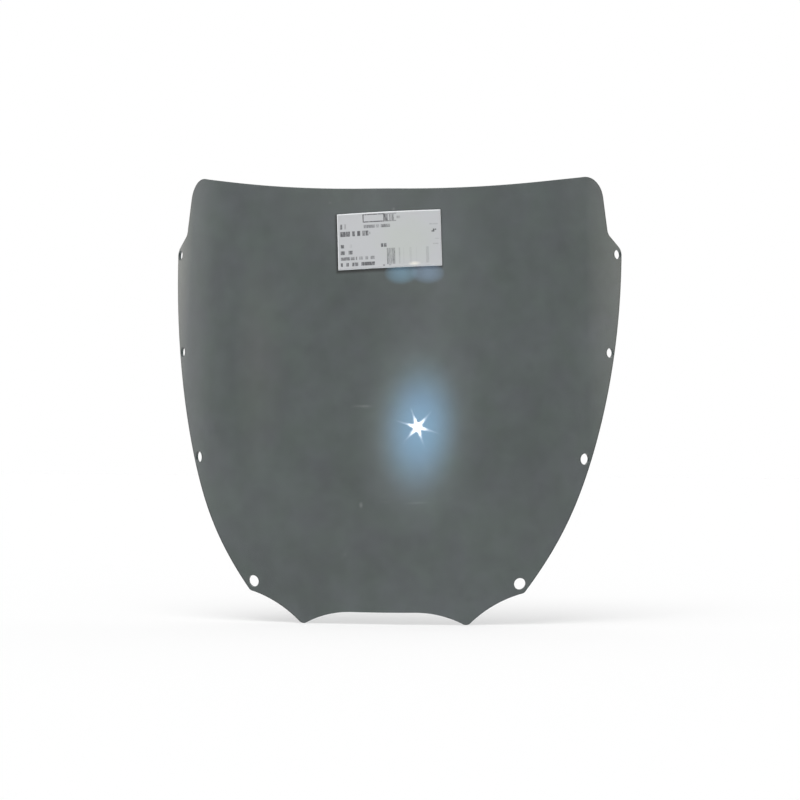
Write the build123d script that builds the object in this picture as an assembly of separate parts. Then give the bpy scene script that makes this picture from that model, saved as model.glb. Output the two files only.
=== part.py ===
"""Windshield screen for a motorcycle fairing: one formed clear sheet and its stuck-on label.

The sheet is laid out flat in two lengths, both measured along its outer face: "across" from
the middle line, and "up" from the level of the two tail tips. A formula bends that layout: a
gentle crown up and down, and across it a nearly flat middle, a tighter bend and an almost
straight flank on each side. The outer face bulges towards -Y, and +Z is up.
"""

import os
from math import cos, exp, log, sin, sqrt

from build123d import *

# Sheet, in millimetres
sheet_thickness = 3.0
edge_round = 0.6
crown_radius = 1420.0  # up and down
middle_radius = 405.0  # across the middle
bend_radius = 91.0
flank_radius = 500.0
bend_start = 168.0  # across, from the middle line
bend_width = 41.0
easing_length = 8.0  # over which one radius turns into the next

# Outline, half of it: the other half is its mirror image
top_up = 444.4  # middle of the top edge
top_straight = 17.4  # half the straight stretch of the top edge
corner_across = 232.8
corner_rise = 30.5  # of the sharp top corner above the middle of the top edge
corner_round = 23.0
waist_across = 245.8
waist_drop = 32.3  # below the middle of the top edge
waist_round = 9.0
shoulder_across = 268.1
shoulder_drop = 47.6  # likewise
shoulder_round = 10.0
flank_middle_across = 242.9
flank_middle_up = 220.2
foot_across = 143.6
foot_up = 32.1
foot_round = 4.5
foot_edge_hollow = 5.1  # sag of the edge between foot and tail tip
tail_across = 84.7
tail_round = 6.0
chin_straight = 32.2  # half the straight stretch between the tail tips
chin_up = 15.3

# Fixing holes, drilled square to the sheet, the same four down each flank
upper_hole = 10.5
lower_hole = 12.0
top_hole_drop = 5.4  # below the shoulder
top_hole_inset = 6.6  # from the edge of the flank to the centre of the hole
second_hole_up = 282.2
second_hole_inset = 7.2
third_hole_up = 168.3
third_hole_inset = 9.9
foot_hole_rise = 9.9  # above the foot
foot_hole_inset = 12.2

# Label
label_width = 105.0
label_height = 57.0
label_thickness = 0.2
label_glue = 0.2
label_across = 6.1
label_drop = 52.3  # from the middle of the top edge to the centre of the label
label_tilt = 2.8
label_corner = 1.0

# How finely the bent surface is worked out
section_steps = 48
sample_pitch = 8.0
blank_margin = 10.0
trim_margin = 1.0


def eased_length(across, start):
    """Length already turned at the tighter radius, when that radius eases in at start."""
    return easing_length * log(1 + exp((across - start) / easing_length))


def turn(across):
    """Angle in radians that the section has turned through at this length from the middle."""
    bend_end = bend_start + bend_width
    return (
        across / middle_radius
        + (1 / bend_radius - 1 / middle_radius) * eased_length(across, bend_start)
        + (1 / flank_radius - 1 / bend_radius) * eased_length(across, bend_end)
    )


def section(across):
    """Sideways reach, depth behind the middle and angle of the section, by Simpson's rule."""
    length = abs(across)
    step = length / section_steps
    reach = depth = 0.0
    for i in range(section_steps + 1):
        weight = 1 if i in (0, section_steps) else 4 if i % 2 else 2
        reach += weight * step / 3 * cos(turn(i * step))
        depth += weight * step / 3 * sin(turn(i * step))
    return (reach if across > 0 else -reach), depth, turn(length) * (1 if across > 0 else -1)


def on_sheet(bent, up, outwards=0.0):
    """Point above the outer face, from a section() result and a height along the crown."""
    reach, depth, angle = bent
    lean = (up - top_up / 2) / crown_radius
    inwards = depth - outwards * cos(angle)
    return Vector(
        reach + outwards * sin(angle),
        crown_radius * (1 - cos(lean)) + inwards * cos(lean),
        (crown_radius - inwards) * sin(lean),
    )


def spread(start, end, pitch):
    """Evenly spaced values from start to end, at most one pitch apart."""
    count = max(4, int(abs(end - start) / pitch) + 1)
    return [start + (end - start) * i / count for i in range(count + 1)]


def blank(flat, outside, thickness):
    """Bent sheet, with room to spare around the flat outline, its outer face at outside."""
    box = flat.bounding_box()
    sections = [
        section(across)
        for across in spread(box.min.X - blank_margin, box.max.X + blank_margin, sample_pitch)
    ]
    ups = spread(box.min.Y - blank_margin, box.max.Y + blank_margin, 3 * sample_pitch)
    points = [[on_sheet(bent, up, outside) for up in ups] for bent in sections]
    outer = Face.make_surface_from_array_of_points(points, tol=0.001)
    return Solid.thicken(outer, thickness, normal_override=(0, 1, 0))


def trim_wall(flat, outside, inside):
    """Wall along the outline, square to the sheet, from outside to inside."""
    walls = []
    for edge in flat.outer_wire().edges():
        flat_points = [edge.position_at(t) for t in spread(0, 1, sample_pitch / edge.length)]
        sections = [section(point.X) for point in flat_points]
        rims = [
            Edge.make_spline([on_sheet(b, p.Y, level) for b, p in zip(sections, flat_points)])
            for level in (outside, inside)
        ]
        walls.append(Face.make_surface_from_curves(*rims))
    return Shell(walls)


def formed(flat, outside, thickness):
    """Solid of the flat outline, bent to shape, with its outer face at outside."""
    wall = trim_wall(flat, outside + trim_margin, outside - thickness - trim_margin)
    pieces = blank(flat, outside, thickness).split(wall, keep=Keep.ALL)
    middle = flat.center()
    target = on_sheet(section(middle.X), middle.Y, outside - thickness / 2)
    return min(pieces, key=lambda piece: piece.distance_to(target))


def flank_edge():
    return ThreePointArc(
        (shoulder_across, top_up - shoulder_drop),
        (flank_middle_across, flank_middle_up),
        (foot_across, foot_up),
    )


def screen_outline():
    corner = (corner_across, top_up + corner_rise)
    waist = (waist_across, top_up - waist_drop)
    shoulder = (shoulder_across, top_up - shoulder_drop)
    foot = (foot_across, foot_up)
    tail = (tail_across, 0)
    half = [
        Line((0, top_up), (top_straight, top_up)),
        TangentArc((top_straight, top_up), corner, tangent=(1, 0)),
        Line(corner, waist),
        Line(waist, shoulder),
        flank_edge(),
        SagittaArc(tail, foot, foot_edge_hollow),
        TangentArc((chin_straight, chin_up), tail, tangent=(1, 0)),
        Line((chin_straight, chin_up), (0, chin_up)),
    ]
    outline = make_face(Curve() + half + [mirror(edge, Plane.YZ) for edge in half])
    rounds = (
        (corner, corner_round),
        (waist, waist_round),
        (shoulder, shoulder_round),
        (foot, foot_round),
        (tail, tail_round),
    )
    for (across, up), radius in rounds:
        for side in (-1, 1):
            sharp = outline.vertices().sort_by_distance((side * across, up))[0]
            outline = fillet(sharp, radius)
    return outline.face()


def fixing_holes():
    """Each hole's height, its inset from the flank's edge, its diameter and its name."""
    return (
        ("top", top_up - shoulder_drop - top_hole_drop, top_hole_inset, upper_hole),
        ("second", second_hole_up, second_hole_inset, upper_hole),
        ("third", third_hole_up, third_hole_inset, lower_hole),
        ("foot", foot_up + foot_hole_rise, foot_hole_inset, lower_hole),
    )


def hole_axis(side, up, inset):
    """Plane at the middle of the sheet's thickness, facing out along the hole."""
    arc = flank_edge()
    centre = arc.arc_center
    across = centre.X + sqrt(arc.radius**2 - (up - centre.Y) ** 2) - inset
    bent = section(side * across)
    middle = on_sheet(bent, up, -sheet_thickness / 2)
    return Plane(middle, z_dir=on_sheet(bent, up) - middle)


def screen():
    sheet = formed(screen_outline(), 0, sheet_thickness)
    skins = sheet.faces().sort_by(SortBy.AREA)[-2:]
    sheet = fillet([edge for skin in skins for edge in skin.outer_wire().edges()], edge_round)
    for _, up, inset, diameter in fixing_holes():
        for side in (-1, 1):
            drill = Cylinder(diameter / 2, 3 * sheet_thickness)
            sheet -= hole_axis(side, up, inset) * drill
    return sheet


def placing(sheet):
    """Moves the origin to the middle of the sheet's bounding box, at its lowest point."""
    box = sheet.bounding_box()
    return Pos(0, -box.center().Y, -box.min.Z)


def label():
    flat = Rectangle(label_width, label_height)
    flat = fillet(flat.vertices(), label_corner)
    flat = Pos(label_across, top_up - label_drop) * Rot(0, 0, label_tilt) * flat
    return formed(flat.face(), label_glue + label_thickness, label_thickness)


def main():
    os.makedirs("parts", exist_ok=True)
    sheet = screen()
    place = placing(sheet)
    for node, shape in (("screen", sheet), ("label", label())):
        export_step(place * shape, f"parts/{node}.step")


main()
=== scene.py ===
from math import atan2, ceil, cos, exp, log, pi, radians, sin, sqrt, tan

import bmesh
import bpy
from mathutils import Matrix, Vector
from mathutils.geometry import intersect_line_line


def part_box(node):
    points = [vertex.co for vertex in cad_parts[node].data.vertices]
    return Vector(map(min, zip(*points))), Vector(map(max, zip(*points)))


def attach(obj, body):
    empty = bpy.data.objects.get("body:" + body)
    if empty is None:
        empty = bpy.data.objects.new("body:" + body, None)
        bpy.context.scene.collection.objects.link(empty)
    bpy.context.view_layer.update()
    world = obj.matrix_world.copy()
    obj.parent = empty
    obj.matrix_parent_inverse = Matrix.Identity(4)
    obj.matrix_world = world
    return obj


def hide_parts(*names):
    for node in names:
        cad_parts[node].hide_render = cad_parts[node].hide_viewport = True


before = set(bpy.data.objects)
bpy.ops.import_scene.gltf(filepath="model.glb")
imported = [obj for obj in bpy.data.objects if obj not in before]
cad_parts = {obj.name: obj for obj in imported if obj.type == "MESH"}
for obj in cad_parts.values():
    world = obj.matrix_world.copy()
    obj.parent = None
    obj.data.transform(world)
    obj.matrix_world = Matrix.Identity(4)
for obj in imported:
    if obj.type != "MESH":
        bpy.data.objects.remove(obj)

bpy.context.view_layer.update()
print("frame loaded:", ", ".join(sorted(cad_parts)))


# Small tools

touching = 0.00001  # points closer than this are one


def inScene(name, data):  # an object of the scene from a mesh, a lamp or a camera
    thing = bpy.data.objects.new(name, data)
    bpy.context.scene.collection.objects.link(thing)
    return thing


def wayTo(azimuth, elevation):  # degrees round from the front towards +X, and up
    around, above = radians(azimuth), radians(elevation)
    return Vector((sin(around) * cos(above), -cos(around) * cos(above), sin(above)))


def facingFrom(way):  # turns a lamp or a camera that stands this way to look back
    return way.to_track_quat("Z", "Y").to_matrix().to_4x4()


def shown(bm, name, smooth=True):  # a finished bmesh becomes an object of the scene
    bmesh.ops.recalc_face_normals(bm, faces=bm.faces)
    for face in bm.faces:
        face.smooth = smooth
    mesh = bpy.data.meshes.new(name)
    bm.to_mesh(mesh)
    bm.free()
    return inScene(name, mesh)


def everything(bm):
    return bm.verts[:] + bm.edges[:] + bm.faces[:]


def onlyVerts(parts):
    return [part for part in parts if isinstance(part, bmesh.types.BMVert)]


def thicken(bm, thickness):  # a flat sheet gets its other side, below it, and its rim
    made = bmesh.ops.extrude_face_region(bm, geom=bm.faces[:])
    bmesh.ops.translate(bm, verts=onlyVerts(made["geom"]), vec=(0, 0, -thickness))


def roundOff(bm, parts, offset, segments, affect="EDGES"):
    bmesh.ops.bevel(
        bm, geom=parts, offset=offset, offset_type="OFFSET", affect=affect,
        segments=segments, profile=0.5, material=-1, clamp_overlap=False,
    )


class Socket:  # an output socket that can be added, multiplied and so on
    def __init__(self, finish, output):
        self.finish = finish
        self.output = output

    def maths(self, operation, first, second):
        return self.finish.maths(operation, first, second)

    def __add__(self, other):
        return self.maths("ADD", self, other)

    def __radd__(self, other):
        return self.maths("ADD", other, self)

    def __sub__(self, other):
        return self.maths("SUBTRACT", self, other)

    def __rsub__(self, other):
        return self.maths("SUBTRACT", other, self)

    def __mul__(self, other):
        return self.maths("MULTIPLY", self, other)

    def __rmul__(self, other):
        return self.maths("MULTIPLY", other, self)

    def __truediv__(self, other):
        return self.maths("DIVIDE", self, other)

    def __pow__(self, other):
        return self.maths("POWER", self, other)

    def __gt__(self, other):
        return self.maths("GREATER_THAN", self, other)

    def __lt__(self, other):
        return self.maths("LESS_THAN", self, other)

    def __abs__(self):
        return self.maths("ABSOLUTE", self, 0.0)

    def atLeast(self, other):
        return self.maths("MAXIMUM", self, other)

    def atMost(self, other):
        return self.maths("MINIMUM", self, other)


class Finish:  # the nodes of a material, a lamp or the world
    def __init__(self, owner):
        owner.use_nodes = True
        self.owner = owner
        self.tree = owner.node_tree
        self.tree.nodes.clear()

    def add(self, kind, settings=None, inputs=None, output=0):
        node = self.tree.nodes.new("ShaderNode" + kind)
        for key, value in (settings or {}).items():
            if key == "stops":
                self.setStops(node.color_ramp, value)
            else:
                setattr(node, key, value)
        for key, value in (inputs or {}).items():
            if isinstance(value, Socket):
                self.tree.links.new(value.output, node.inputs[key])
            else:
                node.inputs[key].default_value = value
        return Socket(self, node.outputs[output]) if node.outputs else node

    def setStops(self, ramp, stops):
        while len(ramp.elements) < len(stops):
            ramp.elements.new(1.0)
        for element, (place, colour) in zip(ramp.elements, stops):
            element.position = place
            element.color = colour

    def maths(self, operation, first, second=0.0):
        return self.add("Math", {"operation": operation}, {0: first, 1: second})

    def vectors(self, operation, first, second):  # for colours too
        return self.add("VectorMath", {"operation": operation}, {0: first, 1: second})

    def scaled(self, colour, share):
        return self.add("VectorMath", {"operation": "SCALE"}, {0: colour, "Scale": share})

    def mixed(self, share, first, second, blend="MIX"):
        settings = {"data_type": "RGBA", "blend_type": blend}
        return self.add("Mix", settings, {0: share, 6: first, 7: second}, 2)

    def part(self, vector, axis):
        return self.add("SeparateXYZ", {}, {0: vector}, axis)

    def grey(self, value):
        return self.add("CombineXYZ", {}, {0: value, 1: value, 2: value})

    def noise(self, place, scale, detail, roughness):
        values = {"Vector": place, "Scale": scale, "Detail": detail, "Roughness": roughness}
        return self.add("TexNoise", {}, values)

    def moved(self, place, middle, turn=(0, 0, 0), size=(1, 1, 1)):  # centres, turns and sizes a pattern
        values = {"Vector": place, "Location": middle, "Rotation": turn, "Scale": size}
        return self.add("Mapping", {"vector_type": "TEXTURE"}, values)

    def oval(self, place, middle, size, turn=(0, 0, 0)):  # 0 in the middle of an oval, 1 at its rim
        moved = self.moved(place, middle, turn, size)
        return self.add("VectorMath", {"operation": "LENGTH"}, {0: moved}, 1)

    def ray(self, kind):  # 1 for this kind of ray, 0 for the others
        return self.add("LightPath", {}, {}, "Is " + kind + " Ray")


# Camera, aimed at the middle of the screen

cameraSet = {
    "aim": (0, 0, 0.225),
    "azimuth": 8.341,
    "elevation": 0.677,
    "roll": 0.110,
    "distance": 3.632,
    "lens": 160.5,
    "shift": (0.01293, 0.00122),
}


def placeCamera():
    back = wayTo(cameraSet["azimuth"], cameraSet["elevation"])
    data = bpy.data.cameras.new("camera")
    data.lens = cameraSet["lens"]
    data.shift_x, data.shift_y = cameraSet["shift"]
    camera = inScene("camera", data)
    place = Matrix.Translation(Vector(cameraSet["aim"]) + back * cameraSet["distance"])
    rolled = Matrix.Rotation(radians(cameraSet["roll"]), 4, "Z")
    camera.matrix_world = place @ facingFrom(back) @ rolled
    bpy.context.scene.camera = camera


placeCamera()
print("camera placed")


# The sheet is laid out flat, X across from its middle line, Y up from its tail tips and
# Z out of its outer face, and the same formula that bends it also bends the label.

sheetForm = {
    "thickness": 0.003,
    "edgeRound": 0.0006,
    "holeRound": 0.00015,
    "crownRadius": 1.42,
    "middleRadius": 0.405,
    "bendRadius": 0.091,
    "flankRadius": 0.5,
    "bendStart": 0.168,
    "bendWidth": 0.041,
    "easing": 0.008,
    "topUp": 0.4444,
    "topStraight": 0.0174,
    "corner": (0.2328, 0.4749),
    "waist": (0.2458, 0.4121),
    "shoulder": (0.2681, 0.3968),
    "flankMiddle": (0.2429, 0.2202),
    "foot": (0.1436, 0.0321),
    "footHollow": 0.0051,
    "tail": (0.0847, 0.0),
    "chin": (0.0322, 0.0153),
    "rounds": {"corner": 0.023, "waist": 0.009, "shoulder": 0.010, "foot": 0.0045, "tail": 0.006},
    "holes": (  # height, inset from the flank's edge and diameter
        (0.3914, 0.0066, 0.0105),
        (0.2822, 0.0072, 0.0105),
        (0.1683, 0.0099, 0.012),
        (0.042, 0.0122, 0.012),
    ),
    # how finely it is made
    "sectionPitch": 0.0005,
    "sectionSteps": 600,
    "topSteps": ((0.865, 30), (0.135, 1)),  # shares of the arc, whole where a round takes it away
    "flankSteps": ((0.025, 1), (0.95, 60), (0.025, 1)),
    "underFootSteps": ((0.1, 1), (0.8, 10), (0.1, 1)),
    "chinSteps": ((0.12, 1), (0.88, 12)),
    "roundPitch": 0.002,
    "roundLeast": 4,
    "edgeSegments": 3,
    "holeSegments": 1,
    "cell": (0.005, 0.010),
    "crumb": 0.0002,  # corners of cells closer than this are one
    "drillSides": 40,
    "drillLength": 0.03,
    "sharpAngle": 1.0,
    "holeReach": 0.52,  # share of a hole's diameter within which an edge is its rim
}


def flatPoint(name):
    return Vector((*sheetForm[name], 0))


def squareTo(way):  # a quarter turn to the left
    return Vector((-way.y, way.x, 0))


def turnAt(across):  # angle the section has turned through, this far from the middle line
    form = sheetForm

    def eased(start):
        return form["easing"] * log(1 + exp((across - start) / form["easing"]))

    return (
        across / form["middleRadius"]
        + (1 / form["bendRadius"] - 1 / form["middleRadius"]) * eased(form["bendStart"])
        + (1 / form["flankRadius"] - 1 / form["bendRadius"]) * eased(form["bendStart"] + form["bendWidth"])
    )


def sectionLine():  # reach and depth of the bent section, step by step from its middle
    pitch = sheetForm["sectionPitch"]
    line = [(0.0, 0.0)]
    for i in range(sheetForm["sectionSteps"]):
        turn = turnAt((i + 0.5) * pitch)
        reach, depth = line[-1]
        line.append((reach + pitch * cos(turn), depth + pitch * sin(turn)))
    return line


bentSection = sectionLine()
standOff = Vector((0, 0, 0))  # from the formula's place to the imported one, set once the sheet is made


def bent(flat):  # where a place on the flat layout ends up
    side = 1 if flat.x >= 0 else -1
    steps = abs(flat.x) / sheetForm["sectionPitch"]
    before = int(steps)
    share = steps - before
    (reachA, depthA), (reachB, depthB) = bentSection[before : before + 2]
    reach, depth = reachA + (reachB - reachA) * share, depthA + (depthB - depthA) * share
    turn = turnAt(abs(flat.x))
    crown = sheetForm["crownRadius"]
    lean = (flat.y - sheetForm["topUp"] / 2) / crown
    inwards = depth - flat.z * cos(turn)
    return standOff + Vector((
        side * (reach + flat.z * sin(turn)),
        crown * (1 - cos(lean)) + inwards * cos(lean),
        (crown - inwards) * sin(lean),
    ))


def arcCentre(a, b, c):
    first, second = (a + b) / 2, (b + c) / 2
    return intersect_line_line(first, first + squareTo(b - a), second, second + squareTo(c - b))[0]


def lineTo(bm, start, end):
    vert = bm.verts.new(end)
    bm.edges.new((start, vert))
    return vert


def arcTo(bm, start, through, end, shares):  # each share of the arc is cut in its own steps
    centre = arcCentre(start.co, through, end)
    fro, to = start.co - centre, end - centre
    sweep = atan2(fro.x * to.y - fro.y * to.x, fro.dot(to))
    for share, count in shares:
        made = bmesh.ops.spin(
            bm, geom=[start], cent=centre, axis=(0, 0, 1), dvec=(0, 0, 0),
            angle=sweep * share, steps=count, use_duplicate=False,
        )
        start = onlyVerts(made["geom_last"])[0]
    return start


def roundCorner(bm, place, radius):
    sharp = min(bm.verts, key=lambda vert: (vert.co - place).length)
    ahead, behind = [edge.other_vert(sharp).co - sharp.co for edge in sharp.link_edges]
    reach = radius / tan(ahead.angle(behind) / 2)
    segments = max(sheetForm["roundLeast"], ceil(radius / sheetForm["roundPitch"]))
    roundOff(bm, [sharp], reach, segments, "VERTICES")


def sheetOutline():
    form = sheetForm
    bm = bmesh.new()
    corner, foot, tail, chin = [flatPoint(name) for name in ("corner", "foot", "tail", "chin")]
    topEnd = Vector((form["topStraight"], form["topUp"], 0))
    hollow = squareTo(foot - tail).normalized() * form["footHollow"]
    vert = lineTo(bm, bm.verts.new((0, form["topUp"], 0)), topEnd)
    vert = arcTo(bm, vert, Vector((2 * topEnd.x - corner.x, corner.y, 0)), corner, form["topSteps"])
    vert = lineTo(bm, vert, flatPoint("waist"))
    vert = lineTo(bm, vert, flatPoint("shoulder"))
    vert = arcTo(bm, vert, flatPoint("flankMiddle"), foot, form["flankSteps"])
    vert = arcTo(bm, vert, (foot + tail) / 2 + hollow, tail, form["underFootSteps"])
    vert = arcTo(bm, vert, Vector((2 * chin.x - tail.x, tail.y, 0)), chin, form["chinSteps"])
    lineTo(bm, vert, Vector((0, chin.y, 0)))
    bmesh.ops.remove_doubles(bm, verts=bm.verts, dist=touching)
    bmesh.ops.mirror(bm, geom=everything(bm), axis="X", merge_dist=touching)
    bmesh.ops.remove_doubles(bm, verts=bm.verts, dist=touching)
    bmesh.ops.contextual_create(bm, geom=bm.edges)
    for name, radius in form["rounds"].items():
        for side in (-1, 1):
            place = flatPoint(name)
            place.x *= side
            roundCorner(bm, place, radius)
    return bm


def cutInCells(bm):
    for axis, facing in ((1, Vector((0, 1, 0))), (0, Vector((1, 0, 0)))):
        pitch = sheetForm["cell"][axis]
        spots = [vert.co[axis] for vert in bm.verts]
        for i in range(ceil(min(spots) / pitch), int(max(spots) / pitch) + 1):
            bmesh.ops.bisect_plane(
                bm, geom=everything(bm), dist=touching / 10, plane_co=facing * i * pitch, plane_no=facing)
    bmesh.ops.remove_doubles(bm, verts=bm.verts, dist=sheetForm["crumb"])


def flankAcross(up):  # where the edge of the flank is at this height
    centre = arcCentre(flatPoint("shoulder"), flatPoint("flankMiddle"), flatPoint("foot"))
    radius = (flatPoint("foot") - centre).length
    return centre.x + sqrt(radius**2 - (up - centre.y) ** 2)


def holePlaces():  # middle and diameter of each hole
    return [
        (Vector((side * (flankAcross(up) - inset), up, 0)), diameter)
        for up, inset, diameter in sheetForm["holes"]
        for side in (-1, 1)
    ]


def holeDrills():
    bm = bmesh.new()
    for place, diameter in holePlaces():
        bmesh.ops.create_cone(
            bm, cap_ends=True, segments=sheetForm["drillSides"], radius1=diameter / 2, radius2=diameter / 2,
            depth=sheetForm["drillLength"], matrix=Matrix.Translation(place),
        )
    return shown(bm, "drills")


def rims(bm, ofHoles):  # sharp edges round the sheet, or round its holes
    found = []
    places = holePlaces()
    for edge in bm.edges:
        if len(edge.link_faces) == 2 and edge.calc_face_angle() > sheetForm["sharpAngle"]:
            middle = (edge.verts[0].co + edge.verts[1].co) / 2
            middle.z = 0
            reach = sheetForm["holeReach"]
            byHole = any((middle - place).length < diameter * reach for place, diameter in places)
            if byHole == ofHoles:
                found.append(edge)
    return found


def makeSheet():
    form = sheetForm
    bm = sheetOutline()
    cutInCells(bm)
    thicken(bm, form["thickness"])
    flat, drills = shown(bm, "sheetFlat"), holeDrills()
    drilling = flat.modifiers.new("drilling", "BOOLEAN")
    drilling.operation, drilling.solver, drilling.object = "DIFFERENCE", "EXACT", drills
    bpy.context.view_layer.update()
    bm = bmesh.new()
    bm.from_mesh(flat.evaluated_get(bpy.context.evaluated_depsgraph_get()).to_mesh())
    for spent in (flat, drills):
        bpy.data.objects.remove(spent)
    roundOff(bm, rims(bm, False), form["edgeRound"], form["edgeSegments"])
    roundOff(bm, rims(bm, True), form["holeRound"], form["holeSegments"])
    for vert in bm.verts:
        vert.co = bent(vert.co)
    return shown(bm, "screenSheet")


def middleOf(low, high):
    return (low + high) / 2


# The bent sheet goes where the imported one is: same middle, same size

sheet = makeSheet()
places = [vert.co for vert in sheet.data.vertices]
low = Vector([min(place[i] for place in places) for i in range(3)])
high = Vector([max(place[i] for place in places) for i in range(3)])
standOff = middleOf(*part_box("screen")) - middleOf(low, high)
for vert in sheet.data.vertices:
    vert.co += standOff
sheet.modifiers.new("levelled shading", "WEIGHTED_NORMAL")
print("sheet made:", len(sheet.data.polygons), "faces")


# Paper label, a little loose along its rim

labelForm = {
    "width": 0.105,
    "height": 0.057,
    "thickness": 0.00015,
    "glue": 0.0002,
    "across": 0.0061,
    "drop": 0.0523,  # from the middle of the top edge
    "tilt": 2.8,
    "cells": (70, 38),
    "lift": 0.0005,
    "liftWidth": 0.004,
    "loose": {"left": (1.0, 0.3), "below": (0.9, 1.9), "right": (0.3, 3.1), "above": (0.5, 4.4)},
    "ripples": 160,
    "rippleShare": 0.25,
    "crease": (0.018, -0.021),
    "creaseSize": (0.010, 0.003),
    "creaseLift": 0.00012,
}


def hump(distance, width):  # 1 in the middle, fading to both sides
    return exp(-((distance / width) ** 2))


def labelLift(x, y):  # how far the paper stands off the sheet at this place on it
    form = labelForm
    insets = {
        "left": x + form["width"] / 2,
        "below": y + form["height"] / 2,
        "right": form["width"] / 2 - x,
        "above": form["height"] / 2 - y,
    }
    lift = 0.0
    for side, (strength, phase) in form["loose"].items():
        ripple = 1 - form["rippleShare"] + form["rippleShare"] * sin((x + y) * form["ripples"] + phase)
        lift += strength * ripple * hump(insets[side], form["liftWidth"])
    (creaseX, creaseY), (length, width) = form["crease"], form["creaseSize"]
    crease = hump(x - creaseX, length) * hump(y - creaseY, width)
    return form["lift"] * lift + form["creaseLift"] * crease


def labelPlace():  # middle of the label on the flat layout
    return Vector((labelForm["across"], sheetForm["topUp"] - labelForm["drop"], 0))


def makeLabel():
    form = labelForm
    bm = bmesh.new()
    bmesh.ops.create_grid(bm, x_segments=form["cells"][0], y_segments=form["cells"][1], size=0.5)
    bmesh.ops.scale(bm, verts=bm.verts, vec=(form["width"], form["height"], 1))
    unwrapped = bm.loops.layers.uv.new("print")  # in millimetres, from the lower left corner
    for face in bm.faces:
        for loop in face.loops:
            x, y, _ = loop.vert.co
            loop[unwrapped].uv = (x + form["width"] / 2) * 1000, (y + form["height"] / 2) * 1000
    thicken(bm, form["thickness"])
    place = Matrix.Translation(labelPlace()) @ Matrix.Rotation(radians(form["tilt"]), 4, "Z")
    for vert in bm.verts:
        flat = vert.co.copy()
        flat.z += form["glue"] + form["thickness"] + labelLift(flat.x, flat.y)
        vert.co = bent(place @ flat)
    return shown(bm, "paperLabel")


label = makeLabel()
print("label made:", len(label.data.polygons), "faces")


# Smoked acrylic: tinted in the mass and polished, a little mottled, with wiping scratches,
# smears and dust, and with the label's shadow painted below it and to its left. A noise is
# given by its scale, detail and roughness.

acrylic = {
    "greener": (0.0655, 0.0829, 0.0772, 1),
    "greyer": (0.0690, 0.0800, 0.0835, 1),
    "dust": (0.22, 0.23, 0.23, 1),
    "clouds": (9.0, 2.0, 0.5),  # over a hand's width
    "cloudDepth": 0.40,
    "mottle": (42.0, 4.0, 0.7),  # over a finger's width
    "mottleDepth": 0.64,
    "hue": (24.0, 3.0, 0.6),
    "hueContrast": 3.0,
    "streaks": (30.0, 4.0, 0.7),
    "streakTurn": (0.2, 0.5, 0.1),
    "streakSquash": (3.0, 3.0, 60.0),
    "streakStops": ((0.70, (0, 0, 0, 1)), (0.76, (1, 1, 1, 1))),
    "speckScale": 150.0,
    "speckSize": 0.10,
    "speckDust": 0.05,
    "roughness": 0.012,
    "smear": 0.02,
    "scratch": 0.05,
    "ior": 1.49,
    "shadowReach": 0.0026,
    "shadowDrop": (0.0010, 0.0016),
    "shadow": 0.8,
}

# Wiped marks on the sheet, in millimetres: middle, half length, half width, turn and share of dust

wipes = (
    (-19.0, 220.5, 14.0, 1.2, 1.0, 0.36),
    (-16.0, 219.5, 6.0, 2.6, 0.0, 0.12),
    (36.0, 123.6, 13.5, 1.2, 3.0, 0.28),
    (-21.0, 121.0, 2.2, 3.8, 0.0, 0.55),
    (4.0, 124.5, 9.0, 1.0, -2.0, 0.18),
    (-38.0, 70.5, 1.3, 2.0, 0.0, 0.32),
    (10.0, 418.5, 2.0, 2.4, 0.0, 0.42),
    (-55.5, 425.0, 1.6, 1.6, 0.0, 0.34),
    (93.0, 86.0, 1.2, 1.2, 0.0, 0.30),
    (-95.0, 180.0, 1.1, 1.6, 0.0, 0.22),
    (70.0, 290.0, 1.1, 1.1, 0.0, 0.22),
)


# painted shadow: the sheet's tint is darkened in a soft band below and to the left of the label
def labelShadow(finish, place):
    onLabel = finish.moved(place, bent(labelPlace()), (0, -radians(labelForm["tilt"]), 0))
    squares = []
    for axis, size, drop in zip((0, 2), (labelForm["width"], labelForm["height"]), acrylic["shadowDrop"]):
        beyond = (abs(finish.part(onLabel, axis) + drop) - size / 2).atLeast(0)
        squares.append(beyond * beyond)
    distance = (squares[0] + squares[1]) ** 0.5
    return (1 - distance / acrylic["shadowReach"]).atLeast(0) * acrylic["shadow"]


def wiped(finish, place):
    dust = 0.0
    for x, z, length, width, turn, share in wipes:
        size = (length / 1000, 1000, width / 1000)  # deep enough to go through the sheet
        reach = finish.oval(place, (x / 1000, 0, z / 1000), size, (0, -radians(turn), 0))
        dust = (1 - reach).atLeast(0) * share + dust
    return dust


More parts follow.
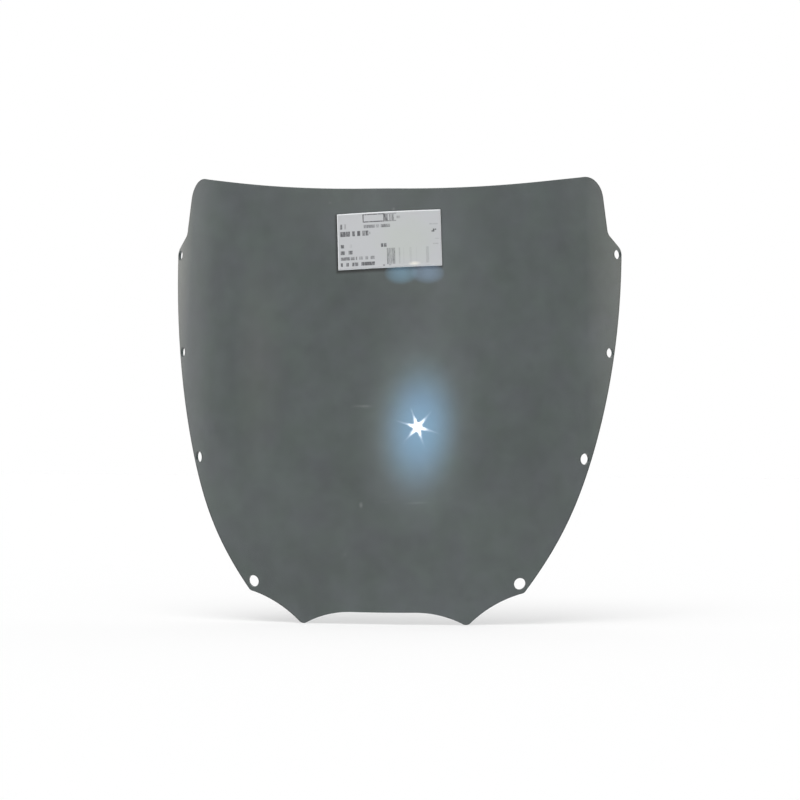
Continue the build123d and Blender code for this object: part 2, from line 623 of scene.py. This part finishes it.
def acrylicFinish():
    finish = Finish(bpy.data.materials.new("smoked acrylic"))
    place = finish.add("TexCoord", {}, {}, "Object")
    clouds, mottle, hue = [finish.noise(place, *acrylic[name]) for name in ("clouds", "mottle", "hue")]
    squashed = {"Vector": place, "Rotation": acrylic["streakTurn"], "Scale": acrylic["streakSquash"]}
    streaks = finish.noise(finish.add("Mapping", {}, squashed), *acrylic["streaks"])
    lines = finish.add("ValToRGB", {"stops": acrylic["streakStops"]}, {0: streaks})
    grains = finish.add("TexVoronoi", {}, {"Vector": place, "Scale": acrylic["speckScale"]})
    dust = wiped(finish, place) + (grains < acrylic["speckSize"]) * acrylic["speckDust"]
    tinted = finish.mixed((hue - 0.5) * acrylic["hueContrast"] + 0.5, acrylic["greener"], acrylic["greyer"])
    depth = 1 + (clouds - 0.5) * acrylic["cloudDepth"] + (mottle - 0.5) * acrylic["mottleDepth"]
    # the mottled tint, darkened where the label's shadow is painted
    uneven = finish.scaled(tinted, depth * (1 - labelShadow(finish, place)))
    shader = finish.add("BsdfPrincipled", {}, {
        "Base Color": finish.mixed(dust, uneven, acrylic["dust"]),
        "Roughness": clouds * acrylic["smear"] + lines * acrylic["scratch"] + acrylic["roughness"],
        "IOR": acrylic["ior"],
        "Transmission Weight": 1.0,
    })
    finish.add("OutputMaterial", {}, {"Surface": shader})
    return finish.owner


sheet.data.materials.clear()
sheet.data.materials.append(acrylicFinish())


# Paper, printed with plain bars, a frame and a striped block in place of words. Places and
# sizes on it are in millimetres from its lower left corner.

paper = {
    "white": (0.522, 0.532, 0.545, 1),
    "yellowed": (0.510, 0.532, 0.514, 1),
    "yellowedMiddle": (69, 27, 0),
    "yellowedSize": (34, 30, 1),
    "yellowedEdge": 1.6,
    "drift": (0.06, 2.0, 0.5),
    "driftDepth": 1.2,
    # painted highlight: the paper is lighter along its rim, widest at its left and top edges
    "rim": (0.86, 0.88, 0.90, 1),
    "rimHighlightWidth": 0.8,
    "creaseHighlight": (0.86, 0.84, 0.76, 1),  # painted highlight where the creased paper catches the light
    "creaseHighlightMiddle": (77.5, 3.2, 0),
    "creaseHighlightSize": (7.0, 2.6, 1),
    "fibres": (3.0, 5.0, 0.7),
    "fibreDepth": 0.12,
    "grain": 0.25,
    "grainHeight": 0.00005,
    "ink": (0.055, 0.055, 0.06, 1),
    "faint": 0.3,  # bars with less ink than this stay as they are
    "pressed": 1.22,  # how much more ink the others get
    "inkShare": 0.9,
    "inkLimits": (0.1, 0.92),
    "strokes": (0.8, 3.0, 0.7),
    "strokeSquash": (1.0, 0.22, 1.0),
    "strokeDepth": 3.0,
    "roughness": 0.5,
    "inkRoughness": 0.35,
    "fibreRoughness": 0.1,
    "ior": 1.45,
}

# Rows of bars: bottom, top, and for each bar its left end, right end and share of ink

printedRows = (
    (47.0, 48.1, ((26.2, 48.5, 0.85), (48.5, 60.5, 0.45))),
    (54.4, 55.4, ((26.2, 48.5, 0.85), (48.5, 60.5, 0.37))),
    (48.1, 54.5, (
        (26.2, 27.3, 0.85), (47.4, 48.6, 0.85), (48.6, 51.8, 0.60), (53.2, 54.8, 0.42),
        (55.6, 58.2, 0.50))),
    (49.5, 52.2, ((60.6, 64.2, 0.30),)),
    (41.2, 44.5, ((27.2, 38.6, 0.50), (39.6, 43.0, 0.36), (44.4, 54.0, 0.50))),
    (41.3, 46.5, ((2.9, 5.0, 0.60), (7.2, 8.8, 0.32))),
    (33.7, 38.8, (
        (2.9, 8.5, 0.95), (8.9, 12.8, 0.85), (15.2, 18.0, 0.95), (20.3, 23.4, 0.95), (25.5, 28.6, 0.62),
        (29.0, 31.8, 0.78))),
    (34.8, 37.4, ((32.4, 34.1, 0.30),)),
    (22.0, 25.6, ((3.0, 6.3, 0.72), (12.3, 14.5, 0.14))),
    (15.3, 19.2, ((2.6, 7.1, 0.75), (10.9, 15.0, 0.70))),
    (9.5, 12.8, (
        (2.8, 12.0, 0.62), (12.9, 17.0, 0.52), (18.2, 19.6, 0.60), (21.6, 25.4, 0.36), (28.0, 30.8, 0.40),
        (33.2, 37.5, 0.48))),
    (3.3, 7.0, (
        (2.6, 4.6, 0.80), (8.3, 10.9, 0.75), (14.1, 16.8, 0.68), (17.2, 20.5, 0.70), (23.7, 37.5, 0.80))),
    (21.3, 25.0, ((44.2, 46.6, 0.78), (47.2, 50.0, 0.74))),
    (3.6, 19.9, (
        (50.0, 51.2, 0.48), (51.2, 56.2, 0.34), (56.2, 58.4, 0.44), (62.0, 63.4, 0.22), (66.5, 67.3, 0.08),
        (72.8, 75.0, 0.10), (79.5, 80.3, 0.07), (89.4, 92.2, 0.22))),
    (42.0, 43.4, ((93.5, 102.4, 0.20),)),
    (34.6, 36.2, ((95.3, 98.6, 0.70),)),
    (36.2, 37.8, ((96.9, 100.3, 0.80),)),
    (27.2, 28.2, ((98.4, 103.0, 0.16),)),
    (22.0, 23.2, ((96.6, 102.4, 0.24),)),
    (2.2, 3.4, ((45.8, 47.8, 0.60), (51.6, 54.0, 0.42))),
)


def within(value, low, high):
    return (value > low) * (value < high)


def pressed(share):
    return share if share < paper["faint"] else min(1, share * paper["pressed"])


def inked(finish, spot, across, up):  # share of ink, uneven as in worn print
    ink = 0.0
    for bottom, top, bars in printedRows:
        row = within(up, bottom, top)
        for left, right, share in bars:
            ink = row * within(across, left, right) * pressed(share) + ink
    squashed = finish.add("Mapping", {}, {"Vector": spot, "Scale": paper["strokeSquash"]})
    strokes = (finish.noise(squashed, *paper["strokes"]) - 0.5) * paper["strokeDepth"] + paper["inkShare"]
    least, most = paper["inkLimits"]
    return (ink * strokes.atLeast(least)).atMost(most)


def paperFinish():
    finish = Finish(bpy.data.materials.new("label paper"))
    spot = finish.add("UVMap", {"uv_map": "print"})
    across, up = finish.part(spot, 0), finish.part(spot, 1)
    ink = inked(finish, spot, across, up)
    drift, fibres = finish.noise(spot, *paper["drift"]), finish.noise(spot, *paper["fibres"])
    inside = 1 - finish.oval(spot, paper["yellowedMiddle"], paper["yellowedSize"])
    warm = (inside * paper["yellowedEdge"] + (drift - 0.5) * paper["driftDepth"]).atLeast(0).atMost(1)
    colour = finish.mixed(warm, paper["white"], paper["yellowed"])
    width, height, rim = labelForm["width"] * 1000, labelForm["height"] * 1000, paper["rimHighlightWidth"]
    middle = within(across, rim, width - rim / 2) * within(up, rim / 2, height - rim)
    # painted highlight: outside this middle the rim of the paper is painted lighter
    colour = finish.mixed(middle, paper["rim"], colour)
    # painted highlight on the crease near the lower edge of the label
    creaseHighlight = (1 - finish.oval(spot, paper["creaseHighlightMiddle"], paper["creaseHighlightSize"])).atLeast(0)
    colour = finish.mixed(creaseHighlight, colour, paper["creaseHighlight"])
    colour = finish.mixed(paper["fibreDepth"], colour, finish.grey(fibres), "MULTIPLY")
    grain = {"Strength": paper["grain"], "Distance": paper["grainHeight"], "Height": fibres}
    smoothing = paper["inkRoughness"] - paper["roughness"]
    shader = finish.add("BsdfPrincipled", {}, {
        "Base Color": finish.mixed(ink, colour, paper["ink"]),
        "Roughness": paper["roughness"] + ink * smoothing + (fibres - 0.5) * paper["fibreRoughness"],
        "Normal": finish.add("Bump", {}, grain),
        "IOR": paper["ior"],
    })
    finish.add("OutputMaterial", {}, {"Surface": shader})
    return finish.owner


label.data.materials.append(paperFinish())
print("finishes made")

for piece, slotName, node in ((sheet, "smoked_acrylic", "screen"), (label, "label_paper", "label")):
    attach(piece, "root")
    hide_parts(node)


# Studio: white all round, a soft sun, a lamp by each flank and two panels that show in gloss

studio = {
    "around": 0.62,  # what the surroundings give to matt surfaces
    "floorSize": 9.0,
    "floor": (0.9, 0.9, 0.9, 1),
    "floorWhite": 0.5,  # share of plain white in what the camera sees of the floor
    "floorGlow": 0.14,  # how much the white that shows in gloss gains in front of the sheet
    "glowAhead": 0.5,
    "glowReach": 1.0,
}

sun = {"aim": (0, 0, 0.2), "azimuth": -25, "elevation": 66, "distance": 3, "strength": 1.7, "angle": 50}

star, underLabel, leftBend = (0.0365, -0.0566, 0.1997), (0.038, -0.050, 0.352), (-0.14, -0.035, 0.26)
leftFlank, rightFlank = (-0.22, 0.04, 0.36), (0.22, 0.03, 0.30)
white, bluish, cream = (1, 1, 1), (0.8, 0.95, 1), (1, 0.93, 0.80)

# Round lamps: aim, azimuth, elevation, distance, width, spread, glow and colour

lamps = {
    "left column": (leftBend, -48, 3.2, 0.3, 0.34, 22, 0.5, cream),
    "left": (leftFlank, -127, 7.0, 1.2, 0.64, 22, 0.95, cream),
    "right": (rightFlank, 112, 8.0, 1.2, 1.1, 40, 1.10, cream),
}

# Panels: aim, azimuth, elevation, distance, width and height, and their lit spots: place, half
# width and half height in millimetres as they show on the sheet, turn, how sharply they fade,
# and light.

spikeWhite, spikeEnd = (44, 44, 44), (7, 7, 8)

panels = {
    "front": ((star, 2.45, -2.59, 0.3, 0.42, 0.44), (
        (0, -5, 90, 145, -4, 4.0, (2.4, 3.0, 3.0)),  # halo
        (2, -1, 57, 94, -5, 4.0, (1.2, 4.2, 8.1)),  # haze
        (0, 0, 5.4, 5.4, 0, 1.0, (60, 58, 54)),  # core of the star
        (0, 0, 13.5, 2.7, -71, 2.0, spikeWhite),
        (0, 0, 14, 2.7, 47.5, 2.0, spikeWhite),
        (0, 0, 13.5, 2.7, -15, 2.0, spikeWhite),
        (0, 0, 25, 1.8, -71, 2.0, spikeEnd),
        (0, 0, 25, 1.8, 48, 2.0, spikeEnd),
        (0, 0, 26, 1.8, -16, 2.0, spikeEnd),
    )),
    "above": ((underLabel, 2.9, 12.2, 0.6, 0.38, 0.075), (
        (-19, 2, 17.5, 12, 0, 0.9, (1.4, 3.2, 4.7)),
        (7.5, 2, 17.5, 11.5, 0, 0.9, (1.8, 2.9, 4.5)),
    )),
}

# Brighter parts of the surroundings that show in gloss: azimuth, elevation, half width, half
# height, glow and colour

glows = {
    "ceiling": (-15, 26, 62, 14, 0.95, white),
    "ceiling middle": (12, 15, 16, 6, 0.45, bluish),
    "column": (6, 9, 24, 11, 0.40, white),
    "right wall": (85, 21, 30, 12, 0.60, white),
}


def addLamp(name, kind, aim, azimuth, elevation, distance, **values):
    data = bpy.data.lights.new(name, kind)
    for key, value in values.items():
        setattr(data, key, value)
    lamp = inScene(name, data)
    way = wayTo(azimuth, elevation)
    lamp.matrix_world = Matrix.Translation(Vector(aim) + distance * way) @ facingFrom(way)
    lamp.visible_camera = False
    lamp.visible_transmission = False
    return lamp


def addRoundLamp(name, aim, azimuth, elevation, distance, width, spread, glow, colour):
    half = radians(spread) / 2
    gathered = 1 - half / tan(half)  # a narrow spread sends the light ahead
    power = glow * pi * (pi / 4 * width * width) * gathered
    values = {"energy": power, "color": colour, "shape": "DISK", "size": width, "spread": 2 * half}
    addLamp(name, "AREA", aim, azimuth, elevation, distance, **values)


def addPanel(name, aim, azimuth, elevation, distance, width, height, spots):
    values = {"energy": pi * width * height, "shape": "RECTANGLE", "size": width, "size_y": height}
    lamp = addLamp(name, "AREA", aim, azimuth, elevation, distance, **values)
    lamp.visible_diffuse = False
    across, along = [  # on the panel, for a millimetre on the bent sheet
        0.001 * (1 + distance * (2 / radius + 1 / cameraSet["distance"]))
        for radius in (sheetForm["middleRadius"], sheetForm["crownRadius"])
    ]
    finish = Finish(lamp.data)
    middle, turned = lamp.matrix_world.translation, lamp.matrix_world.to_euler()
    flat = finish.moved(finish.add("NewGeometry"), middle, turned, (across, along, 1))
    light = (0, 0, 0)
    for x, y, halfWidth, halfHeight, turn, fade, colour in spots:
        reach = finish.oval(flat, (x, y, 0), (halfWidth, halfHeight, 1), (0, 0, radians(turn)))
        share = (1 - reach * reach).atLeast(0) ** fade
        light = finish.vectors("ADD", light, finish.scaled(colour, share))
    shader = finish.add("Emission", {}, {"Color": light, "Strength": 1.0})
    finish.add("OutputLight", {}, {"Surface": shader})


def seenBy(finish):  # 1 for what the camera sees, straight, in gloss or through the sheet
    return finish.ray("Camera").atLeast(finish.ray("Glossy")).atLeast(finish.ray("Transmission"))


def makeSurroundings():
    world = bpy.data.worlds.new("studio")
    bpy.context.scene.world = world
    finish = Finish(world)
    seen, glossy = seenBy(finish), finish.ray("Glossy")
    light = finish.grey(seen + (1 - seen) * studio["around"])
    way = finish.add("TexCoord", {}, {}, "Generated")
    for azimuth, elevation, halfWidth, halfHeight, glow, colour in glows.values():
        size = (sin(radians(halfWidth)), 1, sin(radians(halfHeight)))
        reach = finish.oval(way, wayTo(azimuth, elevation), size, (0, 0, radians(azimuth)))
        share = (1 - reach).atLeast(0) * glossy * glow
        light = finish.vectors("ADD", light, finish.scaled(colour, share))
    background = finish.add("Background", {}, {"Color": light, "Strength": 1.0})
    finish.add("OutputWorld", {}, {"Surface": background})


def makeFloor():
    bm = bmesh.new()
    bmesh.ops.create_grid(bm, x_segments=1, y_segments=1, size=studio["floorSize"] / 2)
    floor = shown(bm, "floor", smooth=False)
    finish = Finish(bpy.data.materials.new("pale floor"))
    matt = finish.add("BsdfDiffuse", {}, {"Color": studio["floor"]})
    glossy = finish.ray("Glossy")
    ahead = finish.part(finish.add("TexCoord", {}, {}, "Object"), 1)
    near = (1 - abs(ahead + studio["glowAhead"]) / studio["glowReach"]).atLeast(0)
    strength = 1 + glossy * near * studio["floorGlow"]
    bright = finish.add("Emission", {}, {"Color": (1, 1, 1, 1), "Strength": strength})
    share = seenBy(finish) * (studio["floorWhite"] + glossy * (1 - studio["floorWhite"]))
    shader = finish.add("MixShader", {}, {0: share, 1: matt, 2: bright})
    finish.add("OutputMaterial", {}, {"Surface": shader})
    floor.data.materials.append(finish.owner)


makeSurroundings()
place = [sun[name] for name in ("aim", "azimuth", "elevation", "distance")]
addLamp("sun", "SUN", *place, energy=sun["strength"], angle=radians(sun["angle"]))
for name, values in lamps.items():
    addRoundLamp(name, *values)
for name, (values, spots) in panels.items():
    addPanel(name, *values, spots)
makeFloor()
bpy.context.scene.view_settings.view_transform = "Standard"
print("studio set")

bpy.context.view_layer.update()
